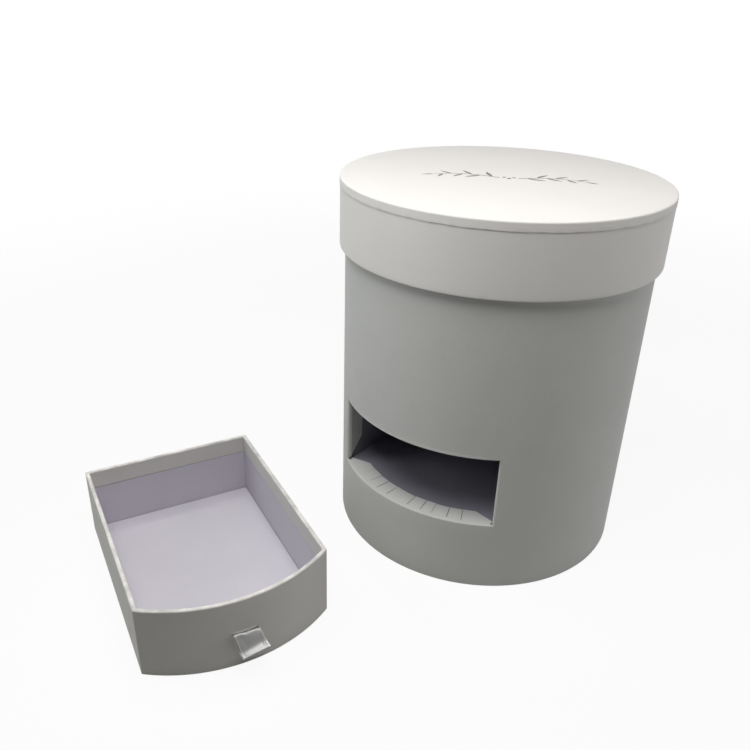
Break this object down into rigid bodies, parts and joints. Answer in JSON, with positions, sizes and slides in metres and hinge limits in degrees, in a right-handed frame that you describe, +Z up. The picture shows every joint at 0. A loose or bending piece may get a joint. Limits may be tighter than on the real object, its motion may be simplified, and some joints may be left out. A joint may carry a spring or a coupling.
{
  "type": "round gift box with drawer",
  "caption": "Round paper-wrapped board gift box for flowers, with a lift-off lid and a low bow-fronted drawer pulled by a ribbon loop.",
  "frame": {"origin": "middle of the round box's underside, on the table", "axes": "+Z up along the box's axis, -Y out of the drawer's slot, +X to the right when looking at the slot"},
  "size_m": [0.2917, 0.3712, 0.2455],
  "materials": {
    "box_base_board": "solid greyboard, uncoated",
    "box_base_paper": "matt white wrapping paper, pasted down",
    "box_tube": "solid greyboard, uncoated",
    "box_wrap": "matt white wrapping paper, pasted down",
    "bay_riser_ring": "solid greyboard, uncoated",
    "bay_floor_board": "solid greyboard, uncoated",
    "bay_left_wall": "solid greyboard, uncoated",
    "bay_right_wall": "solid greyboard, uncoated",
    "bay_back_wall": "solid greyboard, uncoated",
    "bay_wall_lining": "matt lilac-white lining paper, pasted down",
    "bay_floor_lining": "matt lilac-white lining paper, pasted down",
    "bay_ceiling_lining": "matt lilac-white lining paper, pasted down",
    "deck_board": "solid greyboard, uncoated",
    "deck_lining": "matt lilac-white lining paper, pasted down",
    "compartment_lining": "matt lilac-white lining paper, pasted down",
    "lid_top_board": "solid greyboard, uncoated",
    "lid_rim_board": "solid greyboard, uncoated",
    "lid_rim_wrap": "matt white wrapping paper, pasted down",
    "lid_top_paper": "matt white wrapping paper, pasted down",
    "lid_top_lining": "matt lilac-white lining paper, pasted down",
    "lid_rim_lining": "matt lilac-white lining paper, pasted down",
    "drawer_base_board": "solid greyboard, uncoated",
    "drawer_left_wall": "solid greyboard, uncoated",
    "drawer_right_wall": "solid greyboard, uncoated",
    "drawer_back_wall": "solid greyboard, uncoated",
    "drawer_front_board": "solid greyboard, uncoated",
    "drawer_wrap": "matt white wrapping paper, pasted down",
    "drawer_base_paper": "matt white wrapping paper, pasted down",
    "drawer_wall_lining": "matt lilac-white lining paper, pasted down",
    "drawer_floor_lining": "matt lilac-white lining paper, pasted down",
    "ribbon_tails": "silver-grey satin ribbon, 16 mm wide, woven edges",
    "ribbon_pull": "silver-grey satin ribbon, 16 mm wide, woven edges"
  },
  "bodies": {
    "box": {"box_base_board": "box_base_board", "box_base_paper": "box_base_paper", "box_tube": "box_tube", "box_wrap": "box_wrap", "bay_riser_ring": "bay_riser_ring", "bay_floor_board": "bay_floor_board", "bay_left_wall": "bay_left_wall", "bay_right_wall": "bay_right_wall", "bay_back_wall": "bay_back_wall", "bay_wall_lining": "bay_wall_lining", "bay_floor_lining": "bay_floor_lining", "bay_ceiling_lining": "bay_ceiling_lining", "deck_board": "deck_board", "deck_lining": "deck_lining", "compartment_lining": "compartment_lining"},
    "lid": {"lid_top_board": "lid_top_board", "lid_rim_board": "lid_rim_board", "lid_rim_wrap": "lid_rim_wrap", "lid_top_paper": "lid_top_paper", "lid_top_lining": "lid_top_lining", "lid_rim_lining": "lid_rim_lining"},
    "drawer": {"drawer_base_board": "drawer_base_board", "drawer_left_wall": "drawer_left_wall", "drawer_right_wall": "drawer_right_wall", "drawer_back_wall": "drawer_back_wall", "drawer_front_board": "drawer_front_board", "drawer_wrap": "drawer_wrap", "drawer_base_paper": "drawer_base_paper", "drawer_wall_lining": "drawer_wall_lining", "drawer_floor_lining": "drawer_floor_lining", "ribbon_tails": "ribbon_tails"},
    "pull": {"ribbon_pull": "ribbon_pull"}
  },
  "joints": [
    {"name": "lid_lift", "type": "slide", "parent": "box", "child": "lid", "axis": [0, 0, 1], "range_m": [0, 0.06]},
    {"name": "drawer_slide", "type": "slide", "parent": "box", "child": "drawer", "axis": [0.9128, -0.4083, 0], "range_m": [-0.16, 0]},
    {"name": "pull_swing", "type": "hinge", "parent": "drawer", "child": "pull", "pos_m": [-0.01455, -0.22297, 0.0247], "axis": [-0.4083, -0.9128, 0], "range_deg": [-10, 45], "stiffness_Nm_per_rad": 0.0002}
  ]
}
